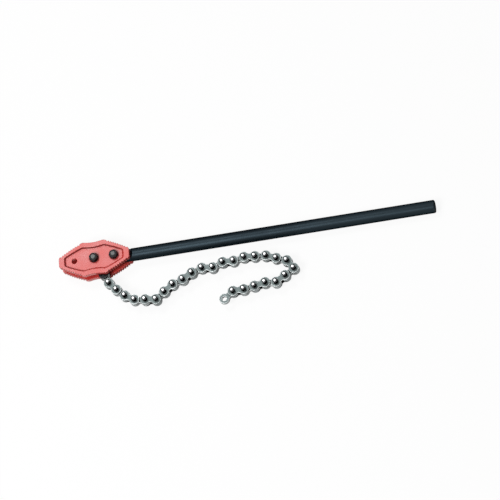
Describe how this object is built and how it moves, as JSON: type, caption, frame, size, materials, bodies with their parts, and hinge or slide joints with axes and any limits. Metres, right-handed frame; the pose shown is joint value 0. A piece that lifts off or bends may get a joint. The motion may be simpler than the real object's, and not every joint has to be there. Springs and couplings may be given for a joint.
{
  "type": "chain pipe wrench",
  "caption": "Chain pipe wrench: round bar handle bolted between reversible toothed jaw plates, with a long pinned link chain on a shackle that wraps a pipe.",
  "frame": {"origin": "on the axis of the free front jaw hole, halfway between the two jaw plates", "axes": "+X along the handle towards its free end, +Z along the front hole and all the pins, out of the side with the nuts"},
  "size_m": [0.874, 0.1941, 0.0552],
  "materials": {
    "jaw_paint": "satin salmon-red enamel on forged steel",
    "handle_paint": "satin blue-black enamel",
    "chain_steel": "tumbled bare steel",
    "pin_steel": "ground bare steel",
    "bush_steel": "turned steel",
    "bolt_steel": "dark oxide"
  },
  "bodies": {
    "wrench_body": {"upper_jaw": "jaw_paint", "lower_jaw": "jaw_paint", "handle": "handle_paint", "pivot_bolt": "bolt_steel", "clamp_bolt": "bolt_steel", "pivot_washer": "bolt_steel", "clamp_washer": "bolt_steel", "pivot_nut": "bolt_steel", "clamp_nut": "bolt_steel", "pivot_bush": "bush_steel"},
    "shackle": {"shackle_plates": "chain_steel", "shackle_pin": "pin_steel"},
    "inner_link_01": {"inner_plates_01": "chain_steel"},
    "outer_link_01": {"outer_plates_01": "chain_steel", "outer_pins_01": "pin_steel"},
    "inner_link_02": {"inner_plates_02": "chain_steel"},
    "outer_link_02": {"outer_plates_02": "chain_steel", "outer_pins_02": "pin_steel"},
    "inner_link_03": {"inner_plates_03": "chain_steel"},
    "outer_link_03": {"outer_plates_03": "chain_steel", "outer_pins_03": "pin_steel"},
    "inner_link_04": {"inner_plates_04": "chain_steel"},
    "outer_link_04": {"outer_plates_04": "chain_steel", "outer_pins_04": "pin_steel"},
    "inner_link_05": {"inner_plates_05": "chain_steel"},
    "outer_link_05": {"outer_plates_05": "chain_steel", "outer_pins_05": "pin_steel"},
    "inner_link_06": {"inner_plates_06": "chain_steel"},
    "outer_link_06": {"outer_plates_06": "chain_steel", "outer_pins_06": "pin_steel"},
    "inner_link_07": {"inner_plates_07": "chain_steel"},
    "outer_link_07": {"outer_plates_07": "chain_steel", "outer_pins_07": "pin_steel"},
    "inner_link_08": {"inner_plates_08": "chain_steel"},
    "outer_link_08": {"outer_plates_08": "chain_steel", "outer_pins_08": "pin_steel"},
    "inner_link_09": {"inner_plates_09": "chain_steel"},
    "outer_link_09": {"outer_plates_09": "chain_steel", "outer_pins_09": "pin_steel"},
    "inner_link_10": {"inner_plates_10": "chain_steel"},
    "outer_link_10": {"outer_plates_10": "chain_steel", "outer_pins_10": "pin_steel"},
    "inner_link_11": {"inner_plates_11": "chain_steel"},
    "outer_link_11": {"outer_plates_11": "chain_steel", "outer_pins_11": "pin_steel"},
    "inner_link_12": {"inner_plates_12": "chain_steel"},
    "outer_link_12": {"outer_plates_12": "chain_steel", "outer_pins_12": "pin_steel"},
    "inner_link_13": {"inner_plates_13": "chain_steel"},
    "outer_link_13": {"outer_plates_13": "chain_steel", "outer_pins_13": "pin_steel"},
    "inner_link_14": {"inner_plates_14": "chain_steel"}
  },
  "joints": [
    {"name": "shackle_pivot", "type": "hinge", "parent": "wrench_body", "child": "shackle", "pos_m": [0.047, 0, 0], "axis": [0, 0, 1], "range_deg": [-80, 3]},
    {"name": "inner_01_pivot", "type": "hinge", "parent": "shackle", "child": "inner_link_01", "pos_m": [0.06408, -0.03837, 0], "axis": [0, 0, -1], "range_deg": [-3, 35]},
    {"name": "outer_01_pivot", "type": "hinge", "parent": "inner_link_01", "child": "outer_link_01", "pos_m": [0.07482, -0.06139, 0], "axis": [0, 0, 1], "range_deg": [-35, 3]},
    {"name": "inner_02_pivot", "type": "hinge", "parent": "outer_link_01", "child": "inner_link_02", "pos_m": [0.09148, -0.08056, 0], "axis": [0, 0, -1], "range_deg": [-4, 35]},
    {"name": "outer_02_pivot", "type": "hinge", "parent": "inner_link_02", "child": "outer_link_02", "pos_m": [0.11006, -0.09788, 0], "axis": [0, 0, 1], "range_deg": [-35, 4]},
    {"name": "inner_03_pivot", "type": "hinge", "parent": "outer_link_02", "child": "inner_link_03", "pos_m": [0.1316, -0.11134, 0], "axis": [0, 0, -1], "range_deg": [-4, 35]},
    {"name": "outer_03_pivot", "type": "hinge", "parent": "inner_link_03", "child": "outer_link_03", "pos_m": [0.15675, -0.11488, 0], "axis": [0, 0, 1], "range_deg": [-35, 5]},
    {"name": "inner_04_pivot", "type": "hinge", "parent": "outer_link_03", "child": "inner_link_04", "pos_m": [0.1819, -0.11841, 0], "axis": [0, 0, -1], "range_deg": [-5, 35]},
    {"name": "outer_04_pivot", "type": "hinge", "parent": "inner_link_04", "child": "outer_link_04", "pos_m": [0.20219, -0.10312, 0], "axis": [0, 0, 1], "range_deg": [-35, 6]},
    {"name": "inner_05_pivot", "type": "hinge", "parent": "outer_link_04", "child": "inner_link_05", "pos_m": [0.22325, -0.08892, 0], "axis": [0, 0, -1], "range_deg": [-7, 35]},
    {"name": "outer_05_pivot", "type": "hinge", "parent": "inner_link_05", "child": "outer_link_05", "pos_m": [0.24726, -0.08065, 0], "axis": [0, 0, 1], "range_deg": [-35, 7]},
    {"name": "inner_06_pivot", "type": "hinge", "parent": "outer_link_05", "child": "inner_link_06", "pos_m": [0.26948, -0.06834, 0], "axis": [0, 0, -1], "range_deg": [-8, 35]},
    {"name": "outer_06_pivot", "type": "hinge", "parent": "inner_link_06", "child": "outer_link_06", "pos_m": [0.29363, -0.06049, 0], "axis": [0, 0, 1], "range_deg": [-35, 10]},
    {"name": "inner_07_pivot", "type": "hinge", "parent": "outer_link_06", "child": "inner_link_07", "pos_m": [0.31885, -0.06359, 0], "axis": [0, 0, -1], "range_deg": [-12, 35]},
    {"name": "outer_07_pivot", "type": "hinge", "parent": "inner_link_07", "child": "outer_link_07", "pos_m": [0.34256, -0.05448, 0], "axis": [0, 0, 1], "range_deg": [-35, 15]},
    {"name": "inner_08_pivot", "type": "hinge", "parent": "outer_link_07", "child": "inner_link_08", "pos_m": [0.36792, -0.05581, 0], "axis": [0, 0, -1], "range_deg": [-20, 35]},
    {"name": "outer_08_pivot", "type": "hinge", "parent": "inner_link_08", "child": "outer_link_08", "pos_m": [0.39277, -0.05053, 0], "axis": [0, 0, 1], "range_deg": [-35, 26]},
    {"name": "inner_09_pivot", "type": "hinge", "parent": "outer_link_08", "child": "inner_link_09", "pos_m": [0.41807, -0.05274, 0], "axis": [0, 0, -1], "range_deg": [-35, 30]},
    {"name": "outer_09_pivot", "type": "hinge", "parent": "inner_link_09", "child": "outer_link_09", "pos_m": [0.44333, -0.0554, 0], "axis": [0, 0, 1], "range_deg": [-24, 45]},
    {"name": "inner_10_pivot", "type": "hinge", "parent": "outer_link_09", "child": "inner_link_10", "pos_m": [0.46671, -0.06532, 0], "axis": [0, 0, -1], "range_deg": [-45, 21]},
    {"name": "outer_10_pivot", "type": "hinge", "parent": "inner_link_10", "child": "outer_link_10", "pos_m": [0.49026, -0.07484, 0], "axis": [0, 0, 1], "range_deg": [-19, 45]},
    {"name": "inner_11_pivot", "type": "hinge", "parent": "outer_link_10", "child": "inner_link_11", "pos_m": [0.50483, -0.09564, 0], "axis": [0, 0, -1], "range_deg": [-45, 8]},
    {"name": "outer_11_pivot", "type": "hinge", "parent": "inner_link_11", "child": "outer_link_11", "pos_m": [0.48353, -0.10948, 0], "axis": [0, 0, 1], "range_deg": [-21, 45]},
    {"name": "inner_12_pivot", "type": "hinge", "parent": "outer_link_11", "child": "inner_link_12", "pos_m": [0.46153, -0.12218, 0], "axis": [0, 0, -1], "range_deg": [-45, 27]},
    {"name": "outer_12_pivot", "type": "hinge", "parent": "inner_link_12", "child": "outer_link_12", "pos_m": [0.43632, -0.11908, 0], "axis": [0, 0, 1], "range_deg": [-35, 45]},
    {"name": "inner_13_pivot", "type": "hinge", "parent": "outer_link_12", "child": "inner_link_13", "pos_m": [0.41131, -0.12349, 0], "axis": [0, 0, -1], "range_deg": [-45, 35]},
    {"name": "outer_13_pivot", "type": "hinge", "parent": "inner_link_13", "child": "outer_link_13", "pos_m": [0.38622, -0.12747, 0], "axis": [0, 0, 1], "range_deg": [-35, 45]},
    {"name": "inner_14_pivot", "type": "hinge", "parent": "outer_link_13", "child": "inner_link_14", "pos_m": [0.36083, -0.12791, 0], "axis": [0, 0, -1], "range_deg": [-45, 35]}
  ]
}
